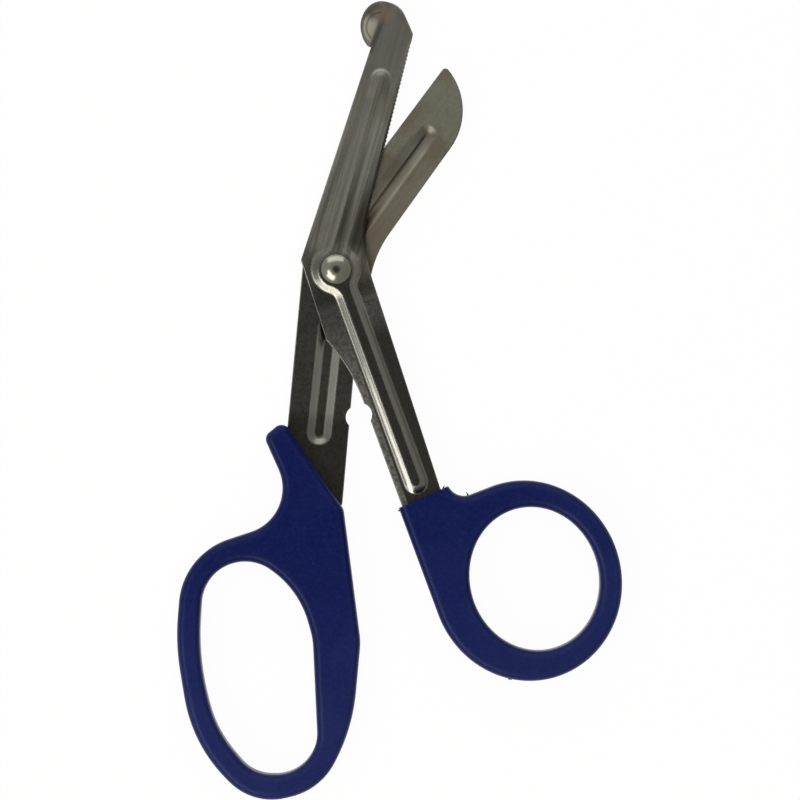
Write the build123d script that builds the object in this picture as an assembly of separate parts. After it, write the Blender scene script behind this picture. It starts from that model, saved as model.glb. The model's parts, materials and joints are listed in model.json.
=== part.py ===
from build123d import *
import math
import os

# Bandage scissors, 190 mm long: two pressed steel blades on one rivet, with a moulded
# handle round each tang. The finger half lies behind and stays, the thumb half lies in
# front and swings on the rivet. Millimetres, +Z towards the viewer, blades towards +Y.
# Each half is drawn in its own frame: pivot at the origin, shank running down -Y, inner
# face on z = 0 and outer face up. An edge is a straight line given by its lean from +Y
# towards +X, in degrees, and its distance from the pivot, positive to the right.

# How the halves lie
THUMB_HALF_TURN = 19.1
FINGER_HALF_TURN = -5.2
BLADE_GAP = 0.05

# Cutting tools run this far through the sheet, and corners closer than this are one
THROUGH = 12.0
NEAR = 0.01

# Pressed sheet
SHEET = 1.6
EDGE_ROUND = 0.25
RIB_CREST = 2.2
RIB_HEIGHT = 0.9
RIB_SLOPE = 1.75
RIB_ROUND = 1.4
BOSS_RADIUS = 5.95
RIB_BLEND = 2.5

# Ground cutting edges
BEVEL_WIDTH = 0.7
BEVEL_DEPTH = 1.15
BEVEL_START = 14.0
WHEEL_RADIUS = 16.0
WHEEL_TURN = 45.0
TOOTH_PITCH = 1.0
TOOTH_WIDTH = 0.85
TOOTH_DEPTH = 0.15
TEETH_START = 15.0
TEETH_END = 57.6

# Probe blade, the thumb half's edges as (lean, distance)
PROBE_BACK = (37.3, -8.65)
PROBE_CUT = (33.2, 4.13)
PROBE_HEEL = (1.5, -7.35)
PROBE_INNER = (-1.1, -4.75)
PROBE_OUTER = (1.1, 7.46)
PROBE_BLADE_LEAN = 35.3
PROBE_CROTCH_RADIUS = 29.0
PROBE_HEEL_DROP = 15.2
PROBE_HEEL_LEAN = -22.0
PROBE_HEEL_BLEND = 45.0
PROBE_BACK_ROUND = 1.0
PROBE_UPPER_RIB = (34.3, -1.6)
PROBE_UPPER_RIB_END = 48.9
PROBE_UPPER_CREST = 1.4
PROBE_LOWER_RIB = (-1.0, 0.4)
PROBE_LOWER_RIB_END = 56.8

# Probe tip, measured along and across the blade's lean
TIP_ALONG = 59.1
TIP_ACROSS = -5.3
TIP_RADIUS = 5.4
TIP_SHOULDER_ANGLE = 40.0
TIP_BACK_ANGLE = 205.0
TIP_SHOULDER_ROUND = 1.2
TIP_ROOT_ALONG = 52.8
TIP_ROOT_ANGLE = 153.0
TIP_FOLD_LEAN = 5.0
TIP_CURL_RADIUS = 8.2
TIP_CURL_ANGLE = 31.0

# Plain blade, the finger half's edges as (lean, distance)
PLAIN_CUT = (31.6, -8.24)
PLAIN_BACK = (30.4, 5.3)
PLAIN_OUTER = (0.2, -8.05)
PLAIN_HEEL = (-0.6, 8.2)
PLAIN_INNER = (-0.2, 6.3)
PLAIN_CROTCH_RADIUS = 26.0
PLAIN_HEEL_DROP = 14.0
PLAIN_HEEL_LEAN = 18.0
PLAIN_HEEL_BLEND = 30.0
PLAIN_BACK_ROUND = 1.0
PLAIN_TIP_RADIUS = 15.25
PLAIN_TIP_START = 39.5
PLAIN_POINT_ROUND = 0.9
PLAIN_UPPER_RIB = (31.0, -1.5)
PLAIN_UPPER_RIB_END = 41.0
PLAIN_UPPER_CREST = 0.9
PLAIN_LOWER_RIB = (0.9, 0.08)
PLAIN_LOWER_RIB_END = 42.0

# Shared corner where each blade's heel ends
HEEL_ROUND = 0.6

# Half-round notch in each shank's inner edge
NOTCH_DROP = 34.6
NOTCH_CHORD = 4.2
NOTCH_DEPTH = 1.0

# Tangs, hidden in the handles
TANG_WIDTH = 6.6
ANCHOR_RADIUS = 1.8
ANCHOR_SPACING = 9.0
ANCHOR_FROM_END = 4.5
TANG_CORNER = 1.5
THUMB_TANG_END = 81.5
THUMB_TANG_ACROSS = 0.6
THUMB_SHOULDER = 62.0
FINGER_TANG_END = 71.0
FINGER_TANG_ACROSS = 1.6
FINGER_SHOULDER_LEFT = 46.0
FINGER_SHOULDER_RIGHT = 55.5
SHOULDER_SLOPE = 3.0

# Pivot rivet
RIVET_RADIUS = 2.2
RIVET_FIT = 0.02
RIVET_RUNNING_FIT = 0.05
HEAD_RADIUS = 3.5
HEAD_RIM = 0.25
HEAD_HEIGHT = 1.65
TAIL_RADIUS = 3.2
TAIL_FLAT_RADIUS = 1.4

# Moulded handles
HANDLE_THICKNESS = 8.0
HANDLE_EDGE_ROUND = 2.0
MOULD_FIT = 0.03

# Thumb loop, with the corners of its neck round the shank
THUMB_HOLE_WIDTH = 30.7
THUMB_HOLE_LENGTH = 34.4
THUMB_HOLE_TOP = Vector(20.5, -67.8)
THUMB_HOLE_TILT = -3.8
THUMB_FREE_BAR = 5.3
THUMB_NECK_BAR = 9.1
THUMB_TOP_BAR = 6.9
THUMB_BOTTOM_BAR = 6.5
THUMB_MOUTH_LEFT = Vector(-4.6, -58.6)
THUMB_MOUTH_RIGHT = Vector(6.9, -57.6)
THUMB_THROAT = Vector(9.6, -61.2)
THUMB_MOUTH_ROUND = 2.1
THUMB_THROAT_ROUND = 4.0
THUMB_MOUTH_TRIM = 4.0

# Finger loop, with the corners of its neck, hook and finger rest
FINGER_HOLE_WIDTH = 29.9
FINGER_HOLE_LENGTH = 49.3
FINGER_HOLE_TOP = Vector(-9.7, -71.65)
FINGER_FREE_BAR = 5.5
FINGER_BOTTOM_BAR = 5.8
FINGER_MOUTH_LEFT = Vector(-9.3, -37.0)
FINGER_MOUTH_RIGHT = Vector(6.9, -56.6)
FINGER_MOUTH_ROUND = 4.0
HOOK_TIP = Vector(-13.5, -41.2)
HOOK_ROUND = 2.1
REST_CORNER = Vector(-3.4, -59.2)
REST_RADIUS = 11.0

# Freeform corners of the finger loop. Each is set out by a share of half the width to the
# right, the height that it hangs on (0 the top, 0.5 the middle, 1 the bottom), its rise above
# it as a share of half the width, and the share that its arc takes of the shorter side beside it.
# First the opening, then the rim from the free bar over the bottom to the body's side.
FINGER_HOLE_SHAPE = [
    (-1.04, 0, 0.61, 0.70), (0.53, 0, -0.36, 0.65), (0.81, 0, -1.09, 0.18), (1.11, 1, 0.05, 0.67),
    (0.06, 1, -0.02, 0.32), (-0.58, 1, 0.61, 0.49), (-0.98, 0.5, 0.07, 0.55),
]
FINGER_RIM_SHAPE = [
    (-1.00, 0, 0.04, 0.53), (-0.99, 0, -1.00, 0.31), (-0.69, 1, 0.54, 0.56), (0.08, 1, -0.10, 0.48),
    (0.85, 1, 0.16, 0.44), (1.15, 1, 0.92, 0.50), (1.15, 0, -0.79, 0.08),
]


def direction(lean):
    """Unit vector at a lean from +Y towards +X."""
    return Vector(math.sin(math.radians(lean)), math.cos(math.radians(lean)))


def on_edge(edge, along):
    """Point on an edge, at a distance along it from the point nearest the pivot."""
    lean, distance = edge
    return direction(lean) * along + direction(lean + 90) * distance


def meet(edge, other):
    """Corner where two edges cross."""
    across = direction(other[0] + 90)
    gap = other[1] - on_edge(edge, 0).dot(across)
    return on_edge(edge, gap / direction(edge[0]).dot(across))


def at_drop(edge, drop):
    """Point of an edge at a distance below the pivot."""
    return meet(edge, (90, drop))


def edge_through(point, lean):
    """Edge with a given lean through a point."""
    return (lean, point.dot(direction(lean + 90)))


def tang_corners(across, shoulder_right, shoulder_left, end):
    """Corners of a tang, from its right shoulder round its end to its left one."""
    right = across + TANG_WIDTH / 2
    left = across - TANG_WIDTH / 2
    return [
        (right, -shoulder_right - SHOULDER_SLOPE), (right, -end),
        (left, -end), (left, -shoulder_left - SHOULDER_SLOPE),
    ]


def probe_tip_centre():
    """Centre of the probe tip's round outline."""
    return on_edge((PROBE_BLADE_LEAN, TIP_ACROSS), TIP_ALONG)


def probe_outline():
    """Flat outline of the thumb half: round probe tip, cranked blade, shank and tang."""
    centre = probe_tip_centre()
    shoulder = centre + direction(90 - TIP_SHOULDER_ANGLE + PROBE_BLADE_LEAN) * TIP_RADIUS
    slant = edge_through(shoulder, 180 - TIP_SHOULDER_ANGLE + PROBE_BLADE_LEAN)
    heel = at_drop(PROBE_HEEL, PROBE_HEEL_DROP)
    root = on_edge(PROBE_BACK, TIP_ROOT_ALONG)
    corners = [
        shoulder, meet(PROBE_CUT, slant), meet(PROBE_CUT, PROBE_OUTER),
        at_drop(PROBE_OUTER, THUMB_SHOULDER),
        *tang_corners(THUMB_TANG_ACROSS, THUMB_SHOULDER, THUMB_SHOULDER, THUMB_TANG_END),
        at_drop(PROBE_INNER, THUMB_SHOULDER), meet(PROBE_INNER, edge_through(heel, PROBE_HEEL_LEAN)),
        heel, meet(PROBE_HEEL, PROBE_BACK), root,
    ]
    rounds = [
        TIP_SHOULDER_ROUND, PROBE_CROTCH_RADIUS, 0, 0, TANG_CORNER, TANG_CORNER, 0, 0,
        PROBE_HEEL_BLEND, HEEL_ROUND, PROBE_BACK_ROUND,
    ]
    sides = FilletPolyline(*corners, radius=rounds)
    back = centre + direction(90 - TIP_BACK_ANGLE + PROBE_BLADE_LEAN) * TIP_RADIUS
    tangents = (
        direction(90 - TIP_ROOT_ANGLE + PROBE_BLADE_LEAN),
        direction(180 - TIP_BACK_ANGLE + PROBE_BLADE_LEAN),
    )
    root_curve = Spline(root, back, tangents=tangents)
    sweep_angle = TIP_SHOULDER_ANGLE - TIP_BACK_ANGLE
    disc = CenterArc(centre, TIP_RADIUS, TIP_BACK_ANGLE - PROBE_BLADE_LEAN, sweep_angle)
    return make_face([*sides.edges(), *root_curve.edges(), *disc.edges()])


def plain_outline():
    """Flat outline of the finger half: pointed blade with a bellied back, shank and tang."""
    belly = on_edge(PLAIN_BACK, PLAIN_TIP_START)
    centre = on_edge((PLAIN_BACK[0], PLAIN_BACK[1] - PLAIN_TIP_RADIUS), PLAIN_TIP_START)
    off = centre.dot(direction(PLAIN_CUT[0] + 90)) - PLAIN_CUT[1]
    reach = centre.dot(direction(PLAIN_CUT[0])) + math.sqrt(PLAIN_TIP_RADIUS**2 - off**2)
    point = on_edge(PLAIN_CUT, reach)
    heel = at_drop(PLAIN_HEEL, PLAIN_HEEL_DROP)
    corners = [
        belly, meet(PLAIN_BACK, PLAIN_HEEL), heel,
        meet(PLAIN_INNER, edge_through(heel, PLAIN_HEEL_LEAN)),
        at_drop(PLAIN_INNER, FINGER_SHOULDER_RIGHT),
        *tang_corners(FINGER_TANG_ACROSS, FINGER_SHOULDER_RIGHT, FINGER_SHOULDER_LEFT, FINGER_TANG_END),
        at_drop(PLAIN_OUTER, FINGER_SHOULDER_LEFT), meet(PLAIN_OUTER, PLAIN_CUT), point,
    ]
    rounds = [
        PLAIN_CROTCH_RADIUS, HEEL_ROUND, PLAIN_HEEL_BLEND, 0, 0, TANG_CORNER, TANG_CORNER, 0, 0,
        PLAIN_BACK_ROUND,
    ]
    sides = FilletPolyline(*corners, radius=rounds)
    tip = TangentArc(belly, point, tangent=direction(PLAIN_BACK[0]))
    outline = make_face([*sides.edges(), *tip.edges()])
    return fillet(outline.vertices().sort_by_distance(point)[0], PLAIN_POINT_ROUND)


def slot(edge, end, crest):
    """Foot of a rib: a round-ended strip from the pivot along an edge, as far as its end."""
    width = crest + 2 * RIB_SLOPE
    middle = (end - width / 2) / 2
    centre = on_edge(edge, middle)
    return Pos(centre.X, centre.Y) * Rot(0, 0, 90 - edge[0]) * SlotCenterToCenter(2 * middle, width)


def pressing(upper, upper_end, upper_crest, lower, lower_end):
    """Raised ribs and the boss round the pivot, as one tapered bump standing on z = 0."""
    down = (lower[0] + 180, -lower[1])
    ribs = slot(upper, upper_end, upper_crest) + slot(down, lower_end, RIB_CREST)
    shape = Circle(BOSS_RADIUS) + ribs
    joins = [v for v in shape.vertices() if abs(Vector(v.X, v.Y).length - BOSS_RADIUS) < NEAR]
    taper = math.degrees(math.atan(RIB_SLOPE / RIB_HEIGHT))
    bump = extrude(fillet(joins, RIB_BLEND), RIB_HEIGHT, taper=taper)
    return fillet(bump.faces().sort_by(Axis.Z)[-1].edges(), RIB_ROUND)


def bevel_wedge(edge, side, end):
    """Wedge that grinds a cutting edge and runs out round the wheel; side is 1 where it faces right."""
    across = direction(edge[0] + 90) * side
    start = on_edge(edge, BEVEL_START)
    plane = Plane(start, x_dir=across, z_dir=direction(edge[0]) * -side)
    rise = BEVEL_DEPTH / BEVEL_WIDTH
    low = SHEET - 2 * BEVEL_WIDTH * rise
    high = SHEET + BEVEL_WIDTH
    profile = Polygon(
        (-BEVEL_WIDTH, SHEET), (BEVEL_WIDTH, low), (BEVEL_WIDTH, high), (-BEVEL_WIDTH, high),
        align=None,
    )
    wheel = Axis(start + across * WHEEL_RADIUS, (0, 0, side))
    return extrude(plane * profile, (BEVEL_START - end) * side) + revolve(plane * profile, wheel, WHEEL_TURN)


def notch_tool(edge, side):
    """Cylinder that cuts the half-round notch in a shank's inner edge."""
    radius = ((NOTCH_CHORD / 2) ** 2 + NOTCH_DEPTH**2) / (2 * NOTCH_DEPTH)
    place = at_drop(edge, NOTCH_DROP) + Vector(side * (radius - NOTCH_DEPTH), 0)
    return Pos(place) * Cylinder(radius, THROUGH)


def anchor_holes(across, end, radius):
    """Round bars through a tang's anchor holes."""
    drops = [end - ANCHOR_FROM_END, end - ANCHOR_FROM_END - ANCHOR_SPACING]
    return [Pos(across, -drop, 0) * Cylinder(radius, THROUGH) for drop in drops]


def sheet_blank(outline, cut_edge):
    """Sheet with its edges tumbled round, except along the cutting edge."""
    blank = extrude(outline, SHEET)
    rims = blank.edges().filter_by(Plane.XY)
    across = direction(cut_edge[0] + 90)
    dull = [rim for rim in rims if abs(rim.center().dot(across) - cut_edge[1]) > EDGE_ROUND]
    return fillet(dull, EDGE_ROUND)


def soften(solid, outline):
    """Rounds the edges of a solid that follow a flat outline."""
    places = [edge.center() for edge in outline.edges()]
    found = [e for e in solid.edges() if any((e.center() - place).length < NEAR for place in places)]
    return fillet(found, RIB_ROUND)


def stamping(blank, ribs, hole_radius):
    """Blank with its ribs and boss pressed outwards, and the pivot hole pierced."""
    foot = ribs.faces().sort_by(Axis.Z)[0]
    raised = Pos(0, 0, SHEET)
    pressed = soften(soften(blank + raised * ribs, raised * foot) - ribs, foot)
    return pressed - Cylinder(hole_radius, THROUGH)


def tip_fold():
    """Plane across the fold's line, at the tip's root: x to the right, y upwards."""
    lean = PROBE_BLADE_LEAN + TIP_FOLD_LEAN
    root = on_edge(PROBE_BACK, TIP_ROOT_ALONG)
    return Plane(root, x_dir=direction(lean + 90), z_dir=direction(lean) * -1)


def curled_tip(outline):
    """Tip left of the fold, curled outwards round a cylinder along the fold's line."""
    outer = TIP_CURL_RADIUS + SHEET
    curl = math.radians(TIP_CURL_ANGLE)
    depth = 2 * outer
    wedge = Polygon((0, 0), (0, -depth), (-depth * math.tan(curl), -depth), align=None)
    section = (Circle(outer) - Circle(TIP_CURL_RADIUS)) & wedge
    bent = extrude(tip_fold() * Pos(0, outer) * section, -3 * TIP_RADIUS)
    rise = outer * (1 - math.cos(curl))
    slant = tip_fold().x_dir * math.sin(curl) + Vector(0, 0, math.cos(curl))
    prism = extrude(Pos(0, 0, rise) * outline, 2 * TIP_RADIUS, dir=slant, both=True)
    return bent & prism


def probe_blade():
    """Thumb half's stamping: serrated blade with a curled probe tip."""
    outline = probe_outline()
    steel = sheet_blank(outline, PROBE_CUT)
    beyond = Box(4 * TIP_RADIUS, THROUGH, 3 * TIP_RADIUS, align=(Align.MAX, Align.CENTER, Align.MAX))
    steel = steel - tip_fold() * beyond + curled_tip(outline)
    upper = (PROBE_UPPER_RIB, PROBE_UPPER_RIB_END, PROBE_UPPER_CREST)
    ribs = pressing(*upper, PROBE_LOWER_RIB, PROBE_LOWER_RIB_END)
    steel = stamping(steel, ribs, RIVET_RADIUS + RIVET_RUNNING_FIT)
    steel = steel - bevel_wedge(PROBE_CUT, 1, TEETH_END) - notch_tool(PROBE_INNER, -1)
    steel = steel - teeth()
    return steel - anchor_holes(THUMB_TANG_ACROSS, THUMB_TANG_END, ANCHOR_RADIUS)


def teeth():
    """Row of V notches along the probe blade's cutting edge."""
    notch = Polygon((-TOOTH_DEPTH, 0), (TOOTH_DEPTH, -TOOTH_WIDTH), (TOOTH_DEPTH, TOOTH_WIDTH), align=None)
    tool = extrude(notch, THROUGH / 2, both=True)
    count = int((TEETH_END - TEETH_START) / TOOTH_PITCH)
    lean = PROBE_CUT[0]
    places = [on_edge(PROBE_CUT, TEETH_START + i * TOOTH_PITCH) for i in range(count)]
    return [Pos(place) * Rot(0, 0, -lean) * tool for place in places]


def plain_blade():
    """Finger half's stamping, drawn with its outer face up."""
    steel = sheet_blank(plain_outline(), PLAIN_CUT)
    upper = (PLAIN_UPPER_RIB, PLAIN_UPPER_RIB_END, PLAIN_UPPER_CREST)
    ribs = pressing(*upper, PLAIN_LOWER_RIB, PLAIN_LOWER_RIB_END)
    steel = stamping(steel, ribs, RIVET_RADIUS + RIVET_FIT)
    steel = steel - bevel_wedge(PLAIN_CUT, -1, PLAIN_TIP_START + PLAIN_TIP_RADIUS)
    steel = steel - notch_tool(PLAIN_INNER, 1)
    return steel - anchor_holes(FINGER_TANG_ACROSS, FINGER_TANG_END, ANCHOR_RADIUS)


def tangent_angle(point, centre, half_width, half_length, tilt, side):
    """Angle on a tilted ellipse, in its own scaled circle, where a line from a point touches it."""
    local = (point - centre).rotate(Axis.Z, -tilt)
    scaled = Vector(local.X / half_width, local.Y / half_length)
    return math.degrees(math.atan2(scaled.Y, scaled.X) + side * math.acos(1 / scaled.length))


def ellipse_point(centre, half_width, half_length, tilt, angle):
    """Point of a tilted ellipse at an angle of its scaled circle."""
    turn = math.radians(angle)
    level = Vector(half_width * math.cos(turn), half_length * math.sin(turn))
    return centre + level.rotate(Axis.Z, tilt)


def thumb_handle_outline():
    """Thumb handle seen from the front: an oval loop with a neck round the shank."""
    bars = Vector(THUMB_FREE_BAR - THUMB_NECK_BAR, THUMB_TOP_BAR - THUMB_BOTTOM_BAR)
    hole = THUMB_HOLE_TOP - Vector(0, THUMB_HOLE_LENGTH / 2)
    centre = hole + bars / 2
    half_width = (THUMB_HOLE_WIDTH + THUMB_NECK_BAR + THUMB_FREE_BAR) / 2
    half_length = (THUMB_HOLE_LENGTH + THUMB_TOP_BAR + THUMB_BOTTOM_BAR) / 2
    oval = (centre, half_width, half_length, THUMB_HOLE_TILT)
    trim = Vector(0, THUMB_MOUTH_TRIM)
    start = tangent_angle(THUMB_MOUTH_LEFT + trim, *oval, 1)
    end = tangent_angle(THUMB_THROAT, *oval, -1)
    corners = [THUMB_THROAT, THUMB_MOUTH_RIGHT + trim, THUMB_MOUTH_LEFT + trim]
    rounds = [THUMB_THROAT_ROUND, THUMB_MOUTH_ROUND, THUMB_MOUTH_ROUND]
    neck = FilletPolyline(ellipse_point(*oval, end), *corners, ellipse_point(*oval, start), radius=rounds)
    sweep_angle = (end - start) % 360
    loop = EllipticalCenterArc(*oval[:3], start, arc_size=sweep_angle, rotation=THUMB_HOLE_TILT)
    opening = Ellipse(THUMB_HOLE_WIDTH / 2, THUMB_HOLE_LENGTH / 2)
    return make_face([*neck.edges(), *loop.edges()]) - Pos(hole) * Rot(0, 0, THUMB_HOLE_TILT) * opening


def thumb_mouth_block():
    """Block that cuts the thumb handle's mouth off flat, across the shank."""
    along = (THUMB_MOUTH_RIGHT - THUMB_MOUTH_LEFT).normalized() * THUMB_MOUTH_TRIM
    left = THUMB_MOUTH_LEFT - along
    right = THUMB_MOUTH_RIGHT + along
    up = along.rotate(Axis.Z, 90) * 2
    block = Polygon(left, right, right + up, left + up, align=None)
    return extrude(block, THROUGH, both=True)


def rounded_loop(corners, radii):
    """Face inside a closed row of rounded corners."""
    return make_face(FilletPolyline(*corners, radius=radii, close=True).edges())


def freeform_corners(shape, half_width, length):
    """Corners of the finger loop's opening or rim, hung from its top, middle and bottom."""
    steps = [Vector(u * half_width, v * half_width - drop * length) for u, drop, v, _ in shape]
    return [FINGER_HOLE_TOP + step for step in steps]


def arc_radii(corners, shape):
    """Radii of a closed loop's last corners, from the shares of their sides that the arcs take."""
    radii = []
    for number, (*_, share) in enumerate(shape, len(corners) - len(shape)):
        arriving = corners[number] - corners[number - 1]
        leaving = corners[(number + 1) % len(corners)] - corners[number]
        taken = share * min(arriving.length, leaving.length)
        radii.append(taken / math.tan(math.radians(arriving.get_angle(leaving) / 2)))
    return radii


def finger_handle_outline():
    """Finger handle seen from the front: a long loop, a finger rest and a hook."""
    half_width = FINGER_HOLE_WIDTH / 2
    hole = freeform_corners(FINGER_HOLE_SHAPE, half_width, FINGER_HOLE_LENGTH)
    half_width += FINGER_FREE_BAR
    rim = freeform_corners(FINGER_RIM_SHAPE, half_width, FINGER_HOLE_LENGTH + FINGER_BOTTOM_BAR)
    corners = [FINGER_MOUTH_RIGHT, FINGER_MOUTH_LEFT, HOOK_TIP, REST_CORNER, *rim]
    radii = [FINGER_MOUTH_ROUND, HOOK_ROUND, HOOK_ROUND, REST_RADIUS, *arc_radii(corners, FINGER_RIM_SHAPE)]
    return rounded_loop(corners, radii) - rounded_loop(hole, arc_radii(hole, FINGER_HOLE_SHAPE))


def moulding(outline):
    """Handle of even thickness about z = 0 with all its edges rounded."""
    slab = extrude(outline, HANDLE_THICKNESS / 2, both=True)
    return fillet(slab.edges().filter_by(Plane.XY), HANDLE_EDGE_ROUND)


def tang_cavity(outline, across, end):
    """Room that the steel takes inside the plastic, with the plugs through its anchor holes."""
    room = extrude(offset(outline, MOULD_FIT), SHEET + 2 * MOULD_FIT)
    return Pos(0, 0, -MOULD_FIT) * room - anchor_holes(across, end, ANCHOR_RADIUS - MOULD_FIT)


def thumb_handle():
    """Moulded thumb loop with its tang's room cut out."""
    room = tang_cavity(probe_outline(), THUMB_TANG_ACROSS, THUMB_TANG_END)
    return moulding(thumb_handle_outline()) - thumb_mouth_block() - Pos(0, 0, BLADE_GAP / 2) * room


def finger_handle():
    """Moulded finger loop with its tang's room cut out."""
    room = tang_cavity(plain_outline(), FINGER_TANG_ACROSS, FINGER_TANG_END)
    return moulding(finger_handle_outline()) - Pos(0, 0, -BLADE_GAP / 2) * mirror(room, Plane.XY)


def pivot_rivet():
    """Domed rivet: head over the front boss, clenched tail under the rear one."""
    stack = BLADE_GAP / 2 + SHEET + RIB_HEIGHT
    under_head = stack + RIVET_RUNNING_FIT
    crown = under_head + HEAD_HEIGHT
    under_tail = -stack - RIVET_FIT
    foot = -HANDLE_THICKNESS / 2
    sides = Polyline(
        (0, crown), (0, foot), (TAIL_FLAT_RADIUS, foot),
    )
    tail = TangentArc((TAIL_FLAT_RADIUS, foot), (TAIL_RADIUS, under_tail), tangent=(1, 0))
    shank = Polyline(
        (TAIL_RADIUS, under_tail), (RIVET_RADIUS, under_tail), (RIVET_RADIUS, under_head),
        (HEAD_RADIUS, under_head), (HEAD_RADIUS, under_head + HEAD_RIM),
    )
    dome = TangentArc((0, crown), (HEAD_RADIUS, under_head + HEAD_RIM), tangent=(1, 0))
    profile = make_face([*sides.edges(), *tail.edges(), *shank.edges(), *dome.edges()])
    return revolve(Plane.XZ * profile, Axis.Z)


def main():
    thumb = Rot(0, 0, THUMB_HALF_TURN)
    finger = Rot(0, 0, FINGER_HALF_TURN)
    parts = {
        "probe_blade": thumb * Pos(0, 0, BLADE_GAP / 2) * probe_blade(),
        "thumb_handle": thumb * thumb_handle(),
        "plain_blade": finger * Pos(0, 0, -BLADE_GAP / 2) * mirror(plain_blade(), Plane.XY),
        "finger_handle": finger * finger_handle(),
        "pivot_rivet": pivot_rivet(),
    }
    box = Compound(list(parts.values())).bounding_box()
    shift = Vector(-box.center().X, -box.center().Y, -box.min.Z)
    os.makedirs("parts", exist_ok=True)
    for name, part in parts.items():
        export_step(Pos(shift) * part, f"parts/{name}.step")
    print("pivot at", shift)


main()
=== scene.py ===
import json
import math

import bmesh
import bpy
from mathutils import Matrix, Vector


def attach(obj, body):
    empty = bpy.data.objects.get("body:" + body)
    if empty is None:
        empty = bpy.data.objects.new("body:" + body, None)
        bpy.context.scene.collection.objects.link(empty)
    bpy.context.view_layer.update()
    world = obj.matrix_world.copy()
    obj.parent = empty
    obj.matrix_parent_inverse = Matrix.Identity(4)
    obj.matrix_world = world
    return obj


bl_info = {
    "name": "Bandage scissors",
    "version": (1, 0, 0),
    "blender": (4, 5, 0),
    "location": "3D View > Sidebar > Scissors",
    "description": "Finishes, moulding marks and studio for a pair of bandage scissors",
    "category": "Object",
}

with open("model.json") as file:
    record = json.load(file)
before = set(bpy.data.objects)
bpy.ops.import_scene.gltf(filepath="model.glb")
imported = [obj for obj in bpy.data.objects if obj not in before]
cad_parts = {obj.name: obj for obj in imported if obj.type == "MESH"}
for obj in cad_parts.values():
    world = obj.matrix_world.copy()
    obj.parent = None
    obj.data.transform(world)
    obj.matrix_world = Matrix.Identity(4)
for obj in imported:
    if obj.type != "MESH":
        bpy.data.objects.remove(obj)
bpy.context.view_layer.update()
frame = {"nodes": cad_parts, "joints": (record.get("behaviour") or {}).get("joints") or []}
PIVOT = Vector(frame["joints"][0]["pos_m"])

MM = 0.001

# How the two halves lie: each blade's and each shank's lean from +Y towards +X, in radians
PROBE_BLADE_LEAN = math.radians(16.2)
PROBE_SHANK_LEAN = math.radians(-19.6)
PLAIN_BLADE_LEAN = math.radians(36.2)
PLAIN_SHANK_LEAN = math.radians(5.4)

# The serrated edge: its lean, and its distance from the pivot
CUT_LEAN = math.radians(14.1)
CUT_DISTANCE = 4.13 * MM

# The curled probe tip: the fold's lean, and the tip's root along and across it
FOLD_LEAN = math.radians(21.2)
FOLD_ALONG = 52.3 * MM
FOLD_ACROSS = -11.4 * MM

# The middle of the curled tip's round rim
DISH_CENTRE = Vector((-4.4, 88.6)) * MM

# The photograph's frame: its width on the handles' mid plane, and the middle of its view
VIEW_WIDTH = 0.1905
VIEW_CENTRE = Vector((0.0001, 0.0))
SENSOR = 36.0

# Ends of the blades' pressed ribs, along each blade from the pivot
PROBE_RIB_END = 45 * MM
PLAIN_RIB_END = 38 * MM

# Heights between which the foot of a rib's slope ends, on the probe half's blade and shank
BLADE_RIB_FOOT = (5.80 * MM, 5.95 * MM)
SHANK_RIB_FOOT = (5.7 * MM, 6.3 * MM)

# Painted shade lines down the plain blade's groove, in mm: place across, half width, strength,
# end, tint
GROOVE_LINES = [
    (-3.3, 1.5, 0.45, 38.0, "shadow"),
    (-1.8, 0.5, 0.86, 40.0, "ground"),
    (-0.7, 1.1, 0.50, 38.0, "shadow"),
]

# Share of a soft line's half width that has its full strength
LINE_CORE = 0.3

# Scales of the noises in the finishes, in features to a metre
STEEL_CLOUD = 90.0
STEEL_BLOTCH = 420.0
STEEL_SPECK = 1600.0
SHANK_MOTTLE = 950.0
TIP_DRIFT = 420.0
DOME_SCUFF = 1200.0
DOME_RINGS = 6000.0
PLASTIC_CLOUD = 70.0
PLASTIC_MOTTLE = 1000.0
PLASTIC_FLECK = 2600.0

# How far aside the blotches' noise is read, so that they don't follow the tip's drift
BLOTCH_SHIFT = 0.4

# Depths of the bumps in the finishes
STEEL_RELIEF = 0.003 * MM
RIVET_RELIEF = 0.004 * MM
GRAIN_RELIEF = 0.012 * MM

# The studio: tints of light, the floor's half side, and how much of it glows white to the lens
KEY_TINT = (1.0, 0.95, 0.84)
ROOM_TINT = (1.0, 0.97, 0.90, 1.0)
WHITE = (1.0, 1.0, 1.0, 1.0)
PAPER = (0.95, 0.95, 0.95, 1.0)
FLOOR_HALF = 1.5
FLOOR_GLOW = 0.96

# How much brighter the room is on its bright side, and how softly its dark patch ends
SIDE_SHARE = 0.20
PATCH_EDGE = 0.03

# Lamps: name, its power's setting, width and height, azimuth and elevation in degrees, distance
LAMPS = [
    ("key_light", "key", (0.58, 0.40), 232.0, 41.0, 0.8),
    ("strip_light", "strip", (0.28, 0.18), 199.0, 47.0, 0.8),
    ("fill_light", "fill", (1.2, 1.2), 90.0, 86.0, 1.2),
    ("top_light", "top", (1.2, 0.42), 95.0, 27.0, 0.8),
]

# A Mix node's sockets for colours, whose names its sockets for numbers have too
MIX_FACTOR, MIX_FIRST, MIX_SECOND, MIX_RESULT = 0, 6, 7, 2

# Burrs on the handles: name, place in mm, direction in degrees, length and width in mm
THUMB_BURRS = [
    ("mouth_curl", (10.3, -21.1), 62.0, 1.6, 0.5),
    ("throat_burr", (16.1, -22.3), 118.0, 0.9, 0.4),
    ("mouth_corner_burr", (0.2, -26.2), 205.0, 1.1, 0.8),
    ("loop_foot_burr", (26.3, -66.35), 262.0, 0.5, 1.8),
]
FINGER_BURRS = [
    ("neck_burr", (-13.2, -30.6), 355.0, 0.8, 1.4),
    ("loop_corner_burr", (-18.4, -89.9), 315.0, 0.7, 1.7),
]


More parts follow.
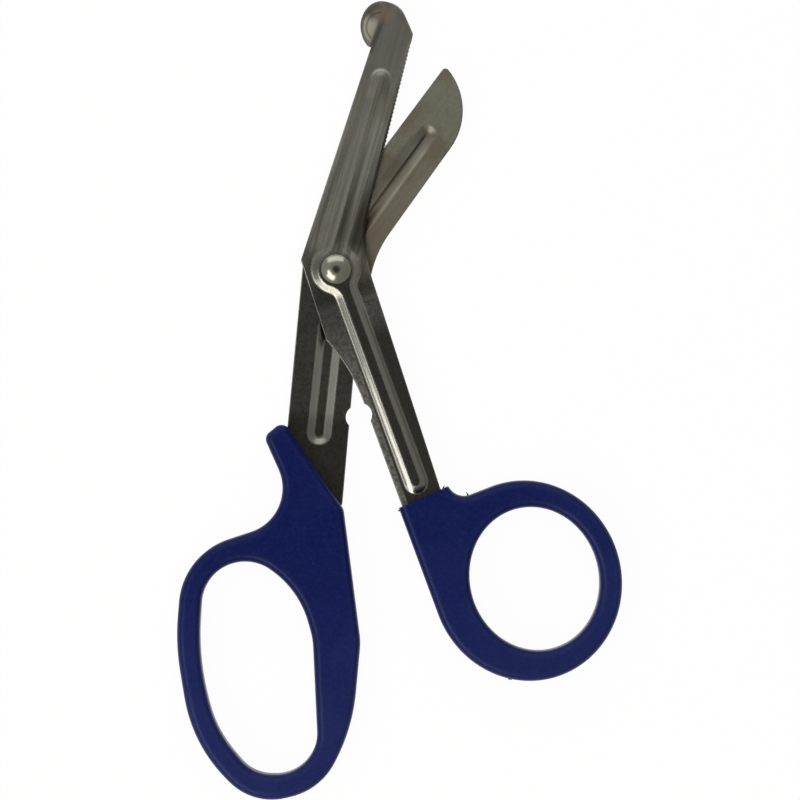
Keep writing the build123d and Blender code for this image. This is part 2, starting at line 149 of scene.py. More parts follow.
class Value:
    """A shader socket that Python's operators work on."""

    def __init__(self, finish, socket):
        self.finish = finish
        self.socket = socket

    def calculate(self, operation, first, second):
        """The result of a Math node on two values."""
        return self.finish.node("ShaderNodeMath", {"operation": operation}, {0: first, 1: second})

    def __add__(self, other):
        return self.calculate("ADD", self, other)

    __radd__ = __add__

    def __sub__(self, other):
        return self.calculate("SUBTRACT", self, other)

    def __rsub__(self, other):
        return self.calculate("SUBTRACT", other, self)

    def __mul__(self, other):
        return self.calculate("MULTIPLY", self, other)

    __rmul__ = __mul__

    def __truediv__(self, other):
        return self.calculate("DIVIDE", self, other)

    def __rtruediv__(self, other):
        return self.calculate("DIVIDE", other, self)

    def __pow__(self, other):
        return self.calculate("POWER", self, other)

    def __rpow__(self, other):
        return self.calculate("POWER", other, self)

    def __abs__(self):
        return self.finish.node("ShaderNodeMath", {"operation": "ABSOLUTE"}, {0: self})

    def at_least(self, other):
        """The larger of this value and another."""
        return self.calculate("MAXIMUM", self, other)

    def sibling(self, output):
        """Another output of the same node."""
        return Value(self.finish, self.socket.node.outputs[output])


class Finish:
    """A finish of a surface or of the room: one material or world, and its node tree."""

    def __init__(self, name, kept_in=None):
        kept_in = bpy.data.materials if kept_in is None else kept_in
        self.owner = kept_in.new(name)
        self.owner.use_nodes = True
        self.tree = self.owner.node_tree
        self.tree.nodes.clear()

    def node(self, kind, settings=None, values=None, output=0):
        """Any node: its settings first, then its sockets' values or links. Gives one output."""
        made = self.tree.nodes.new(kind)
        for name, setting in (settings or {}).items():
            setattr(made, name, setting)
        for name, value in (values or {}).items():
            if isinstance(value, Value):
                self.tree.links.new(value.socket, made.inputs[name])
            else:
                made.inputs[name].default_value = value
        return Value(self, made.outputs[output]) if made.outputs else None

    def upward(self):
        """How far the surface faces up or down, from 0 on an edge to 1 on a flat."""
        normal = self.node("ShaderNodeTexCoord", output="Normal")
        return abs(self.node("ShaderNodeSeparateXYZ", None, {0: normal}, output="Z"))

    def place(self):
        """The surface point's x, y and z in the object's frame."""
        point = self.node("ShaderNodeTexCoord", output="Object")
        x = self.node("ShaderNodeSeparateXYZ", None, {0: point})
        return x, x.sibling("Y"), x.sibling("Z")

    def vector(self, x, y, z):
        """A vector from its three numbers."""
        return self.node("ShaderNodeCombineXYZ", None, {0: x, 1: y, 2: z})

    def noise(self, vector, scale, detail=3.0, roughness=0.5):
        """Smooth noise from 0 to 1 at a vector."""
        values = {"Vector": vector, "Scale": scale, "Detail": detail, "Roughness": roughness}
        return self.node("ShaderNodeTexNoise", None, values)

    def ramp(self, value, low, high, start=0.0, end=1.0):
        """Smooth step from start to end as a value goes from low to high."""
        settings = {"interpolation_type": "SMOOTHSTEP"}
        values = {"Value": value, 1: low, 2: high, 3: start, 4: end}
        return self.node("ShaderNodeMapRange", settings, values)

    def rise(self, value, low, high, end=1.0):
        """Smooth step from 0 up to end as a value goes from low to high."""
        return self.ramp(value, low, high, 0.0, end)

    def fall(self, value, low, high, start=1.0):
        """Smooth step from start down to 0 as a value goes from low to high."""
        return self.ramp(value, low, high, start, 0.0)

    def line(self, across, place, half, strength):
        """Soft line beside an axis: its place across it, its half width and its strength."""
        return self.fall(abs(across - place), half * LINE_CORE, half, strength)

    def mix(self, factor, first, second):
        """Blend of two colours."""
        values = {MIX_FACTOR: factor, MIX_FIRST: first, MIX_SECOND: second}
        return self.node("ShaderNodeMix", {"data_type": "RGBA"}, values, output=MIX_RESULT)

    def bump(self, height, depth):
        """Normal bent by a height from 0 to 1, a given number of metres deep."""
        return self.node("ShaderNodeBump", None, {"Height": height, "Distance": depth})

    def surface(self, **values):
        """Ends the tree in the main shader, and gives the material."""
        named = {name.replace("_", " "): value for name, value in values.items()}
        return self.end(self.node("ShaderNodeBsdfPrincipled", None, named))

    def end(self, shader, kind="ShaderNodeOutputMaterial"):
        """Ends the tree in a shader, and gives the material or world."""
        self.node(kind, None, {0: shader})
        return self.owner


def along_across(place, lean):
    """Distances along and across a line through the pivot at a lean."""
    x = place[0] - PIVOT.x
    y = place[1] - PIVOT.y
    along = x * math.sin(lean) + y * math.cos(lean)
    across = x * math.cos(lean) - y * math.sin(lean)
    return along, across


def distance(x, y):
    """Straight distance over two distances at right angles."""
    return (x * x + y * y) ** 0.5


def clear(name):
    """Takes away an object that an earlier run of an operator made."""
    old = bpy.data.objects.get(name)
    if old is not None:
        bpy.data.objects.remove(old)


def finish_node(node, material):
    """Gives a CAD node its finish."""
    mesh = frame["nodes"][node].data
    mesh.materials.clear()
    mesh.materials.append(material)


def new_piece(name, bm, material, body):
    """Makes a named object from a bmesh, in place, riding on a body."""
    clear(name)
    mesh = bpy.data.meshes.new(name)
    bm.to_mesh(mesh)
    bm.free()
    piece = bpy.data.objects.new(name, mesh)
    bpy.context.scene.collection.objects.link(piece)
    mesh.materials.append(material)
    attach(piece, body)


class SteelSettings(bpy.types.PropertyGroup):
    """Colours of the pressed steel, and the sizes of its streaks."""

    front: bpy.props.FloatVectorProperty(
        name="Front steel", description="Tint of the probe blade's steel",
        subtype="COLOR", size=4, default=(0.60, 0.60, 0.53, 1.0),
    )
    rear: bpy.props.FloatVectorProperty(
        name="Rear steel", description="Tint of the plain blade's steel",
        subtype="COLOR", size=4, default=(0.500, 0.500, 0.400, 1.0),
    )
    shank: bpy.props.FloatVectorProperty(
        name="Shank", description="Tint of the dark polished shanks",
        subtype="COLOR", size=4, default=(0.46, 0.46, 0.42, 1.0),
    )
    stain: bpy.props.FloatVectorProperty(
        name="Stain", description="Brown cast of handling on the steel",
        subtype="COLOR", size=4, default=(0.34, 0.27, 0.20, 1.0),
    )
    # Also paints shade: the darkened bevel, sheet edges, rib crest, crotch, tip fold and shank end
    ground: bpy.props.FloatVectorProperty(
        name="Ground edge", description="Tint of the serrated edge's ground bevel",
        subtype="COLOR", size=4, default=(0.06, 0.055, 0.045, 1.0),
    )
    # Tints the real dark streaks, blotches and specks, and paints shade on ribs, rings and round
    # the boss
    shadow: bpy.props.FloatVectorProperty(
        name="Dark streaks", description="Tint of the dark streaks and blotches",
        subtype="COLOR", size=4, default=(0.17, 0.17, 0.155, 1.0),
    )
    # Painted reflection: pale tint on the curled tip's lower part
    painted_dish_reflection: bpy.props.FloatVectorProperty(
        name="Dish", description="Tint of the curled tip's lower part",
        subtype="COLOR", size=4, default=(0.95, 0.92, 0.80, 1.0),
    )
    # Painted highlight: the shank's bright line, the rib end's arc, and painted light on flats and
    # heel
    gleam: bpy.props.FloatVectorProperty(
        name="Gleam", description="Tint of the shank's bright line and pale flats",
        subtype="COLOR", size=4, default=(0.97, 0.97, 0.92, 1.0),
    )
    # Painted reflection: brown tint on the curled tip's upper part
    painted_brown_reflection: bpy.props.FloatVectorProperty(
        name="Browned tip", description="Tint of the curled tip's upper part",
        subtype="COLOR", size=4, default=(0.52, 0.40, 0.29, 1.0),
    )
    rivet: bpy.props.FloatVectorProperty(
        name="Rivet", description="Tint of the rivet's polished dome",
        subtype="COLOR", size=4, default=(0.42, 0.41, 0.35, 1.0),
    )
    scuff: bpy.props.FloatVectorProperty(
        name="Rivet's scuffs", description="Tint of the worn spots on the rivet's dome",
        subtype="COLOR", size=4, default=(0.35, 0.33, 0.29, 1.0),
    )
    streak: bpy.props.FloatProperty(
        name="Streaks", description="Width of the fine streaks along the steel",
        default=0.45 * MM, unit="LENGTH",
    )
    band: bpy.props.FloatProperty(
        name="Bands", description="Width of the broad streaks along the blades",
        default=1.3 * MM, unit="LENGTH",
    )
    reach: bpy.props.FloatProperty(
        name="Streak length", description="Length over which a streak fades",
        default=45 * MM, unit="LENGTH",
    )


class PlasticSettings(bpy.types.PropertyGroup):
    """Colours and grain of the moulded handles."""

    navy: bpy.props.FloatVectorProperty(
        name="Navy", description="Colour of the plastic",
        subtype="COLOR", size=4, default=(0.0014, 0.0064, 0.072, 1.0),
    )
    # Used where hands rub the plastic, and as painted light on the loops far from the pivot
    pale: bpy.props.FloatVectorProperty(
        name="Rubbed navy", description="Colour of the plastic where it is rubbed",
        subtype="COLOR", size=4, default=(0.0128, 0.0200, 0.106, 1.0),
    )
    # Painted highlight along the rounded rims, partly wear
    rim: bpy.props.FloatVectorProperty(
        name="Worn rim", description="Colour of the plastic along its worn rounded rims",
        subtype="COLOR", size=4, default=(0.045, 0.062, 0.20, 1.0),
    )
    fleck: bpy.props.FloatVectorProperty(
        name="Flecks", description="Colour of the small pale flecks in the plastic",
        subtype="COLOR", size=4, default=(0.020, 0.030, 0.105, 1.0),
    )
    grain: bpy.props.FloatProperty(
        name="Grain", description="Size of the mould's grain",
        default=0.35 * MM, unit="LENGTH",
    )


class FlashSettings(bpy.types.PropertyGroup):
    """Shape of the small burrs that the mould left on the handles."""

    flatness: bpy.props.FloatProperty(
        name="Burr flatness", description="Thickness of a burr as a share of its width",
        default=0.5,
    )
    taper: bpy.props.FloatProperty(
        name="Burr taper", description="Width of a burr's tip as a share of its root",
        default=0.4,
    )


class StudioSettings(bpy.types.PropertyGroup):
    """Camera, floor and light."""

    distance: bpy.props.FloatProperty(
        name="Camera height", description="From the handles' mid plane to the lens",
        default=0.95, unit="LENGTH",
    )
    key: bpy.props.FloatProperty(
        name="Key light", description="Power of the light at lower left",
        default=1.9, unit="POWER",
    )
    strip: bpy.props.FloatProperty(
        name="Strip light", description="Power of the narrow light beside the key",
        default=0.36, unit="POWER",
    )
    fill: bpy.props.FloatProperty(
        name="Fill light", description="Power of the overhead light, which metal doesn't mirror",
        default=6.5, unit="POWER",
    )
    top: bpy.props.FloatProperty(
        name="Top light", description="Power of the light beyond the tips",
        default=1.5, unit="POWER",
    )
    room: bpy.props.FloatProperty(
        name="Room", description="Strength of the room's light, outside its dark patch",
        default=0.34,
    )
    ceiling: bpy.props.FloatProperty(
        name="Ceiling", description="Strength of the dark patch straight overhead",
        default=0.045,
    )
    gap: bpy.props.FloatProperty(
        name="Floor gap", description="Gap between the scissors and the floor",
        default=0.05 * MM, unit="LENGTH",
    )
    window: bpy.props.FloatProperty(
        name="Bright side", description="Direction of the room's bright side, from +X",
        default=math.radians(150.0), subtype="ANGLE",
    )
    patch: bpy.props.FloatProperty(
        name="Dark patch", description="Half angle of the dark patch overhead",
        default=math.radians(21.0), subtype="ANGLE",
    )


class Steel(Finish):
    """One half's pressed steel: ground along its blade, darker and more polished in its shank."""

    def __init__(self, name, tint, blade_lean, shank_lean, settings):
        super().__init__(name)
        self.settings = settings
        self.point = self.place()
        self.up = self.upward()
        self.along, self.across = along_across(self.point, blade_lean)
        self.down, self.beside = along_across(self.point, shank_lean)
        self.blade = self.rise(self.along, -4 * MM, 6 * MM)
        self.colour = self.mix(self.blade, settings.shank, tint)

    def lay(self, mask, tint):
        """Lays a tint over the steel, as strongly as a mask says."""
        self.colour = self.mix(mask, self.colour, tint)

    def streak_lines(self, along, across, width):
        """Long noise lines beside each other, of a given width."""
        fine = 1.0 / width
        lines = self.vector(along / self.settings.reach, across * fine, self.point[2] * fine)
        return self.noise(lines, 1.0, 3.0, 0.55)

    def lay_streaks(self, depth, brown):
        """Streaks and brown clouds of a given strength each, then blotches and specks."""
        settings = self.settings
        shank = 1 - self.blade
        wide = self.streak_lines(self.along, self.across, settings.band)
        ground = self.streak_lines(self.along, self.across, settings.streak)
        drawn = self.streak_lines(self.down, self.beside, settings.streak)
        self.streaks = ground * self.blade + drawn * shank
        near = self.ramp(self.along, 6 * MM, 52 * MM, 1.0, 0.15) * self.blade
        self.lay(self.rise(wide, 0.46, 0.60, depth) * near, settings.shadow)
        even = self.ramp(self.along, 40 * MM, 52 * MM, depth * 0.6, depth * 0.15)
        self.lay(self.rise(self.streaks, 0.42, 0.66) * even, settings.shadow)

        x, y, z = self.point
        cloud = self.noise(self.vector(x, y, z), STEEL_CLOUD)
        self.lay(self.rise(cloud, 0.48, 0.64, brown) * self.blade, settings.stain)

        blotch = self.noise(self.vector(x + BLOTCH_SHIFT, y, z), STEEL_BLOTCH, 4.0, 0.65)
        speck = self.noise(self.vector(x, y, z), STEEL_SPECK)
        level = self.rise(self.up, 0.94, 0.99)
        blotches = self.rise(blotch, 0.48, 0.68, 0.45) * level * (1 - self.blade * 0.6)
        specks = self.rise(speck, 0.45, 0.65, 0.50) * level * (1 - self.blade * 0.7)
        self.lay(blotches, settings.shadow)
        self.lay(specks, settings.shadow)
        polish = 0.14 + self.blade * 0.22
        self.rough = polish + self.streaks * 0.10 + speck * 0.04 + blotch * 0.06

    def lay_probe_blade(self):
        """Painted shade on the probe blade's rib and at its crotch, a painted highlight arc at the
        rib's end.
        """
        settings = self.settings
        along, across = self.along, self.across
        # Painted shade on the rib's slopes near its end, and a painted highlight arc past it
        slope = self.fall(self.up, 0.97, 0.995)
        slope_end = slope * self.rise(along, PROBE_RIB_END - 5 * MM, PROBE_RIB_END, 0.55)
        self.lay(slope_end, settings.shadow)
        foot = self.fall(self.point[2], *BLADE_RIB_FOOT) * self.fall(self.up, 0.985, 0.998)
        arc = foot * self.rise(along, PROBE_RIB_END, PROBE_RIB_END + 3.5 * MM, 0.45)
        self.lay(arc, settings.gleam)
        # Painted shade on the rib's left wall, and darker towards the pivot
        wall = self.line(across, -3.9 * MM, 2.2 * MM, 0.70)
        wall = wall * self.fall(along, PROBE_RIB_END - 5 * MM, PROBE_RIB_END - 1 * MM)
        self.lay(wall * slope, settings.shadow)
        self.lay(self.fall(along, 10 * MM, PROBE_RIB_END, 0.28), settings.shadow)

        # Painted shade: a dark line down the rib's crest, and at the crotch
        line = self.line(across, -1.5 * MM, 0.8 * MM, 0.6)
        line = line * self.ramp(along, 8 * MM, 26 * MM, 1.0, 0.2)
        self.lay(line * self.rise(along, 4 * MM, 8 * MM), settings.ground)
        crotch = self.rise(across, 0.5 * MM, 1.7 * MM) * self.fall(along, 13 * MM, 26 * MM, 0.8)
        self.lay(crotch * self.rise(along, 3 * MM, 8 * MM), settings.ground)
        # Darker towards the tip
        self.lay(self.rise(along, 30 * MM, 54 * MM, 0.50), settings.shadow)

    def lay_tip(self):
        """Curled tip: painted pale and brown reflections, and painted shade in dark rings and a
        fold.
        """
        settings = self.settings
        x, y, z = self.point
        along, across = along_across(self.point, FOLD_LEAN)
        aside = across - FOLD_ACROSS
        drift = self.noise(self.vector(x, y, z), TIP_DRIFT) * 2.4 * MM
        height = along - FOLD_ALONG + drift
        curled = self.fall(aside, -1.3 * MM, 0.2 * MM)
        # Painted reflections: pale on the curled tip's lower part, brown in a patch above it
        painted_dish_reflection = self.fall(height, 6.2 * MM, 8.6 * MM) * self.rise(height, -4 * MM, -3 * MM)
        self.lay(painted_dish_reflection * curled, settings.painted_dish_reflection)
        patch = distance((aside + 0.4 * MM) * 0.8, height - 9.7 * MM)
        self.lay(self.fall(patch, 0.8 * MM, 2.8 * MM, 0.85), settings.painted_brown_reflection)

        # Painted shade: dark rings along the curled rim
        radius = distance(x - DISH_CENTRE.x, y - DISH_CENTRE.y)
        left = self.fall(aside, -0.9 * MM, -0.4 * MM) * self.fall(height, 10 * MM, 12 * MM)
        self.lay(self.line(radius, 3.5 * MM, 0.35 * MM, 0.55) * left, settings.shadow)
        self.lay(self.rise(radius, 4.2 * MM, 4.5 * MM, 0.5) * left, settings.shadow)

        # Painted shade along the fold
        fold = self.line(aside, 0.2 * MM, 0.9 * MM, 0.5) * self.rise(height, -0.5 * MM, 0.5 * MM)
        self.lay(fold * self.ramp(height, 6 * MM, 9 * MM, 1.0, 0.2), settings.ground)

    def ground_edge(self):
        """Mask of the serrated edge's ground bevel: 1 on it, 0 elsewhere."""
        along, across = along_across(self.point, CUT_LEAN)
        near = self.rise(across, CUT_DISTANCE - 0.9 * MM, CUT_DISTANCE - 0.7 * MM)
        return near * self.fall(self.up, 0.62, 0.8) * self.rise(along, 2 * MM, 6 * MM)

    def lay_probe_shank(self):
        """Probe shank: painted light on its rougher flats, a painted highlight and painted shade
        on its rib.
        """
        settings = self.settings
        down, beside = self.down, self.beside
        # Painted shade at the foot of the rib's slope
        foot = self.fall(self.point[2], *SHANK_RIB_FOOT, 0.75) * self.fall(self.up, 0.90, 0.99)
        self.lay(foot * self.fall(self.along, -9 * MM, -6 * MM), settings.shadow)

        # The painted highlight line leans a little out of the shank's own axis, with painted shade
        # along both its sides
        off = beside + down * 0.017 + 1.80 * MM
        slope = self.fall(self.up, 0.94, 0.99)
        shank = self.fall(down, -9 * MM, -6 * MM)
        low = self.fall(off, -0.8 * MM, -0.35 * MM, 0.92)
        high = self.rise(off, 0.20 * MM, 0.85 * MM, 0.92) * self.fall(beside, 0.2 * MM, 0.6 * MM)
        self.lay((low + high) * slope * shank, settings.shadow)
        core = self.fall(abs(off), 0.10 * MM, 0.5 * MM, 0.8) * self.fall(down, -34 * MM, -20 * MM)
        self.lay(core * slope, settings.gleam)

        # Painted light on the flats beside the rib, mottled, and a little rougher
        mottle = self.noise(self.vector(down, beside, 0.0), SHANK_MOTTLE, 4.0, 0.65)
        left = self.fall(beside, -2.9 * MM, -2.4 * MM)
        left = left * self.ramp(down, -28 * MM, -7 * MM, 1.0, 0.35)
        right = self.rise(beside, 2.6 * MM, 3.2 * MM) * self.rise(down, -20 * MM, -12 * MM) * 0.5
        flats = (left + right) * (1 - slope) * shank * self.ramp(mottle, 0.35, 0.60, 0.40, 0.88)
        self.lay(flats, settings.gleam)
        self.rough = self.rough + flats * 0.08

        # Painted light at the heel's edge, and painted shade on the slope round the boss
        heel = self.rise(down, -6 * MM, 0.0) * self.fall(down, 3 * MM, 7 * MM)
        self.lay(heel * self.fall(beside, -6.5 * MM, -5.5 * MM, 0.30), settings.gleam)
        around = self.rise(down, 0.8 * MM, 2.2 * MM) * self.fall(beside, -2 * MM, -1 * MM)
        self.lay(around * self.fall(down, 5 * MM, 8 * MM, 0.35) * slope, settings.shadow)

    def lay_plain_half(self):
        """Painted shade down the plain blade's groove and at the shank's end, and brown at its
        crotch.
        """
        settings = self.settings
        # Painted shade on the groove's slopes at its end, then painted shade lines down it
        slope = self.fall(self.up, 0.97, 0.995)
        slope_end = self.rise(self.along, PLAIN_RIB_END - 4 * MM, PLAIN_RIB_END, 0.65)
        self.lay(slope * slope_end, settings.shadow)
        past_boss = self.rise(self.along, 5 * MM, 9 * MM)
        for place, half, strength, end, tint in GROOVE_LINES:
            line = self.line(self.across, place * MM, half * MM, strength)
            line = line * self.fall(self.along, (end - 3) * MM, end * MM)
            self.lay(line * past_boss, getattr(settings, tint))
        brown = self.fall(self.along, 8 * MM, 34 * MM, 0.55) * self.rise(self.along, 0.0, 6 * MM)
        self.lay(brown, settings.stain)
        # Painted shadow on the shank near the handle
        self.lay(self.fall(self.down, -37 * MM, -33 * MM, 0.4), settings.ground)

    def close(self, bevel=0.0):
        """Paints shade on the sheet's edges, less where a bevel is ground, and gives the material.
        """
        edge = self.fall(self.up, 0.50, 0.86, 0.8) * (1 - bevel * 0.6)
        self.lay(edge, self.settings.ground)
        return self.surface(
            Base_Color=self.colour, Metallic=1.0, Roughness=self.rough + edge * 0.2,
            Normal=self.bump(self.streaks, STEEL_RELIEF),
        )


def probe_steel(settings):
    """The probe half's steel: strong streaks, and the marks of its blade, tip, edge and shank."""
    steel = Steel("blade_steel", settings.front, PROBE_BLADE_LEAN, PROBE_SHANK_LEAN, settings)
    steel.lay_streaks(depth=0.80, brown=0.3)
    steel.lay_probe_blade()
    steel.lay_tip()
    # Painted shade: the serrated edge's ground bevel is darkened
    bevel = steel.ground_edge()
    steel.lay(bevel * 0.5, settings.ground)
    steel.lay_probe_shank()
    return steel.close(bevel)


def plain_steel(settings):
    """The plain half's steel: faint streaks, and more brown."""
    steel = Steel("plain_blade_steel", settings.rear, PLAIN_BLADE_LEAN, PLAIN_SHANK_LEAN, settings)
    steel.lay_streaks(depth=0.28, brown=0.55)
    steel.lay_plain_half()
    return steel.close()


def rivet_steel(settings):
    """Polished dome with fine turning marks round its crown."""
    finish = Finish("rivet_steel")
    x, y, z = finish.place()
    radius = distance(x - PIVOT.x, y - PIVOT.y)
    rings = finish.noise(finish.vector(radius * DOME_RINGS, 0.0, 0.0), 1.0, 2.0)
    scuff = finish.noise(finish.vector(x, y, z), DOME_SCUFF, 4.0, 0.6)
    return finish.surface(
        Base_Color=finish.mix(finish.rise(scuff, 0.5, 0.75, 0.3), settings.rivet, settings.scuff),
        Metallic=1.0, Roughness=0.15 + scuff * 0.12,
        Normal=finish.bump(rings * 0.4 + scuff * 0.6, RIVET_RELIEF),
    )


def handle_plastic(name, settings):
    """Navy plastic with the mould's fine grain, paler where hands rub it, with painted light on
    its loops and rims.
    """
    finish = Finish(name)
    point = finish.place()
    spot = finish.vector(*point)
    grain = finish.noise(spot, 1.0 / settings.grain, 3.0, 0.6)
    cloud = finish.noise(spot, PLASTIC_CLOUD, 4.0, 0.55)
    mottle = finish.noise(spot, PLASTIC_MOTTLE, 4.0, 0.7)
    fleck = finish.noise(spot, PLASTIC_FLECK, 2.0, 0.6)

    reach = distance(point[0] - PIVOT.x, point[1] - PIVOT.y)
    # Paler far from the pivot: painted light; paler in cloudy, mottled patches: wear
    rubbed_and_painted_light = finish.rise(reach, 55 * MM, 120 * MM) * 0.7 + finish.rise(cloud, 0.42, 0.65) * 0.2
    rubbed_and_painted_light = rubbed_and_painted_light + finish.rise(mottle, 0.42, 0.62) * 0.22
    colour = finish.mix(rubbed_and_painted_light, settings.navy, settings.pale)
    colour = finish.mix(finish.rise(fleck, 0.60, 0.75, 0.6), colour, settings.fleck)

    up = finish.upward()
    # Paler rims: a painted highlight, partly wear
    rim = finish.rise(up, 0.78, 0.93, 0.07) * finish.fall(up, 0.955, 0.9995)
    colour = finish.mix(rim * finish.ramp(cloud, 0.25, 0.60, 0.35, 1.0), colour, settings.rim)
    return finish.surface(
        Base_Color=colour, Roughness=0.25 + grain * 0.14, Specular_IOR_Level=0.13,
        Normal=finish.bump(grain, GRAIN_RELIEF),
    )


class SCISSORS_OT_blades(bpy.types.Operator):
    """Finish the two pressed steel halves"""

    bl_idname = "scissors.blades"
    bl_label = "Blades"

    def execute(self, context):
        settings = context.scene.scissors_steel
        finish_node("probe_blade", probe_steel(settings))
        finish_node("plain_blade", plain_steel(settings))
        return {"FINISHED"}


class SCISSORS_OT_rivet(bpy.types.Operator):
    """Finish the domed rivet"""

    bl_idname = "scissors.rivet"
    bl_label = "Rivet"

    def execute(self, context):
        finish_node("pivot_rivet", rivet_steel(context.scene.scissors_steel))
        return {"FINISHED"}


class SCISSORS_OT_handles(bpy.types.Operator):
    """Finish the two moulded handles"""

    bl_idname = "scissors.handles"
    bl_label = "Handles"

    def execute(self, context):
        settings = context.scene.scissors_plastic
        finish_node("thumb_handle", handle_plastic("thumb_plastic", settings))
        finish_node("finger_handle", handle_plastic("finger_plastic", settings))
        return {"FINISHED"}


def burr(place, azimuth, length, width, settings):
    """Small tapered fin of plastic that stands out from a handle's rim."""
    bm = bmesh.new()
    root = width / 2
    bmesh.ops.create_cone(
        bm, cap_ends=True, segments=16, radius1=root, radius2=root * settings.taper, depth=length,
    )
    lay_down = Matrix.Rotation(math.pi / 2, 4, "Y")
    flatten = Matrix.Scale(settings.flatness, 4, Vector((0, 0, 1)))
    turn = Matrix.Rotation(math.radians(azimuth), 4, "Z")
    placed = Matrix.Translation(place) @ turn @ flatten @ lay_down
    bmesh.ops.transform(bm, matrix=placed, verts=bm.verts)
    return bm


class SCISSORS_OT_burrs(bpy.types.Operator):
    """Add the small burrs on the handles' rims"""

    bl_idname = "scissors.burrs"
    bl_label = "Burrs"

    def execute(self, context):
        settings = context.scene.scissors_flash
        for side, burrs in (("thumb", THUMB_BURRS), ("finger", FINGER_BURRS)):
            material = frame["nodes"][side + "_handle"].data.materials[0]
            for name, (x, y), azimuth, length, width in burrs:
                place = Vector((x * MM, y * MM, PIVOT.z))
                fin = burr(place, azimuth, length * MM, width * MM, settings)
                new_piece(name, fin, material, side + "_half")
        return {"FINISHED"}


def floor_finish():
    """White sweep that shows as white to the lens and in metal, and keeps a soft shadow."""
    finish = Finish("floor_paper")
    camera = finish.node("ShaderNodeLightPath", output="Is Camera Ray")
    glossy = camera.sibling("Is Glossy Ray")
    seen = camera.at_least(glossy).at_least(camera.sibling("Is Transmission Ray"))
    paper = finish.node("ShaderNodeBsdfDiffuse", None, {"Color": PAPER})
    white = finish.node("ShaderNodeEmission", None, {"Color": WHITE, "Strength": 1.0})
    shaders = {0: seen * FLOOR_GLOW, 1: paper, 2: white}
    return finish.end(finish.node("ShaderNodeMixShader", None, shaders))


def room_world(settings):
    """Plain room: dark straight overhead, brighter on one side, and white to the lens."""
    finish = Finish("room", bpy.data.worlds)
    outward = finish.node("ShaderNodeTexCoord", output="Generated")
    height = finish.node("ShaderNodeSeparateXYZ", None, {0: outward}, output="Z")
    rim = math.cos(settings.patch)
    overhead = finish.rise(height, rim - PATCH_EDGE, rim + PATCH_EDGE)
    bright = (math.cos(settings.window), math.sin(settings.window), 0.0)
    side = finish.node(
        "ShaderNodeVectorMath", {"operation": "DOT_PRODUCT"}, {0: outward, 1: bright},
        output="Value",
    )
    level = (side * SIDE_SHARE + 1) * settings.room
    level = level * (1 - overhead) + overhead * settings.ceiling
    seen = finish.node("ShaderNodeLightPath", output="Is Camera Ray")
    level = level * (1 - seen) + seen
    tint = finish.mix(seen, ROOM_TINT, WHITE)
    scaled = {0: tint, "Scale": level}
    colour = finish.node("ShaderNodeVectorMath", {"operation": "SCALE"}, scaled)
    light = finish.node("ShaderNodeBackground", None, {"Color": colour, "Strength": 1.0})
    return finish.end(light, "ShaderNodeOutputWorld")


def area_light(name, power, size, azimuth, elevation, away):
    """Soft light that faces the scissors from a direction in degrees, so far away."""
    clear(name)
    data = bpy.data.lights.new(name, "AREA")
    data.shape = "RECTANGLE"
    data.size, data.size_y = size
    data.energy = power
    light = bpy.data.objects.new(name, data)
    bpy.context.scene.collection.objects.link(light)
    turn = math.radians(azimuth)
    rise = math.radians(elevation)
    level = math.cos(rise)
    outward = Vector((math.cos(turn) * level, math.sin(turn) * level, math.sin(rise)))
    light.location = outward * away
    light.rotation_mode = "QUATERNION"
    light.rotation_quaternion = outward.to_track_quat("Z", "Y")


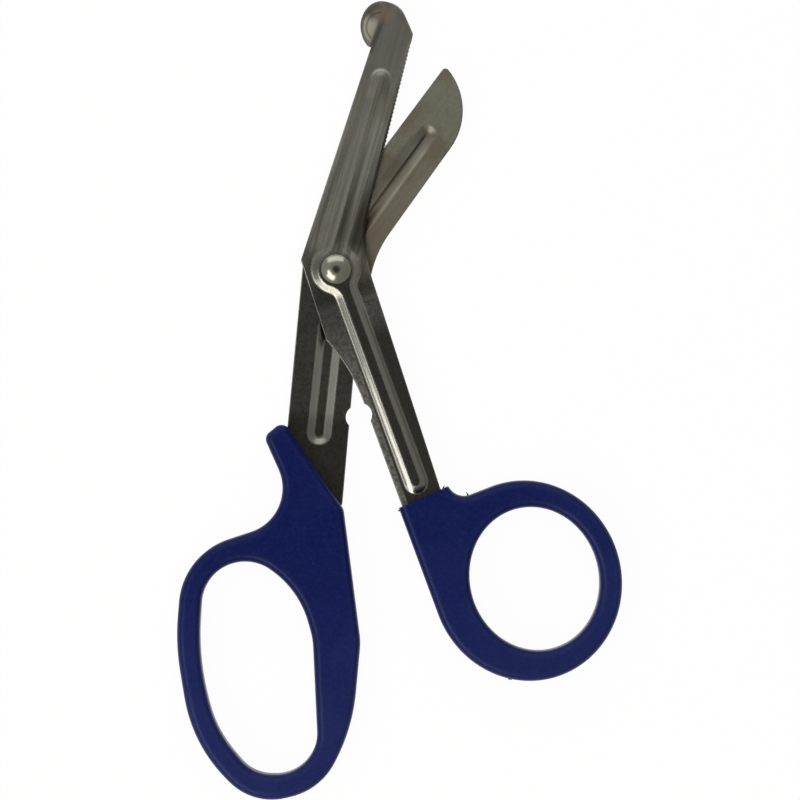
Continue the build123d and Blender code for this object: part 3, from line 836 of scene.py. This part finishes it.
class SCISSORS_OT_stage(bpy.types.Operator):
    """Build the floor, the lights and the camera"""

    bl_idname = "scissors.stage"
    bl_label = "Stage"

    def execute(self, context):
        scene = context.scene
        settings = scene.scissors_studio
        clear("floor")
        bm = bmesh.new()
        lower = Matrix.Translation((0.0, 0.0, -settings.gap))
        bmesh.ops.create_grid(bm, x_segments=1, y_segments=1, size=FLOOR_HALF, matrix=lower)
        mesh = bpy.data.meshes.new("floor")
        bm.to_mesh(mesh)
        bm.free()
        mesh.materials.append(floor_finish())
        floor = bpy.data.objects.new("floor", mesh)
        scene.collection.objects.link(floor)

        scene.world = room_world(settings)
        for name, power, size, azimuth, elevation, away in LAMPS:
            area_light(name, getattr(settings, power), size, azimuth, elevation, away)
        bpy.data.objects["key_light"].data.color = KEY_TINT
        bpy.data.objects["fill_light"].visible_glossy = False

        clear("camera")
        data = bpy.data.cameras.new("camera")
        data.sensor_width = SENSOR
        data.lens = SENSOR * settings.distance / VIEW_WIDTH
        data.clip_end = 10.0
        camera = bpy.data.objects.new("camera", data)
        scene.collection.objects.link(camera)
        camera.location = (VIEW_CENTRE.x, VIEW_CENTRE.y, PIVOT.z + settings.distance)
        scene.camera = camera
        scene.view_settings.view_transform = "Standard"
        return {"FINISHED"}


class SCISSORS_PT_panel(bpy.types.Panel):
    """Lists the steps that dress the scissors"""

    bl_label = "Bandage scissors"
    bl_idname = "SCISSORS_PT_panel"
    bl_space_type = "VIEW_3D"
    bl_region_type = "UI"
    bl_category = "Scissors"

    def draw(self, context):
        scene = context.scene
        for name in GROUPS:
            group = getattr(scene, name)
            for setting in group.__annotations__:
                self.layout.prop(group, setting)
        for operator in OPERATORS:
            self.layout.operator(operator.bl_idname)


GROUPS = {
    "scissors_steel": SteelSettings,
    "scissors_plastic": PlasticSettings,
    "scissors_flash": FlashSettings,
    "scissors_studio": StudioSettings,
}
OPERATORS = [
    SCISSORS_OT_blades,
    SCISSORS_OT_rivet,
    SCISSORS_OT_handles,
    SCISSORS_OT_burrs,
    SCISSORS_OT_stage,
]


def register():
    for name, group in GROUPS.items():
        bpy.utils.register_class(group)
        setattr(bpy.types.Scene, name, bpy.props.PointerProperty(type=group))
    for operator in OPERATORS:
        bpy.utils.register_class(operator)
    bpy.utils.register_class(SCISSORS_PT_panel)


def unregister():
    bpy.utils.unregister_class(SCISSORS_PT_panel)
    for operator in reversed(OPERATORS):
        bpy.utils.unregister_class(operator)
    for name, group in GROUPS.items():
        delattr(bpy.types.Scene, name)
        bpy.utils.unregister_class(group)


def main():
    register()
    bpy.ops.scissors.blades()
    bpy.ops.scissors.rivet()
    bpy.ops.scissors.handles()
    bpy.ops.scissors.burrs()
    bpy.ops.scissors.stage()


if __name__ == "__main__":
    main()
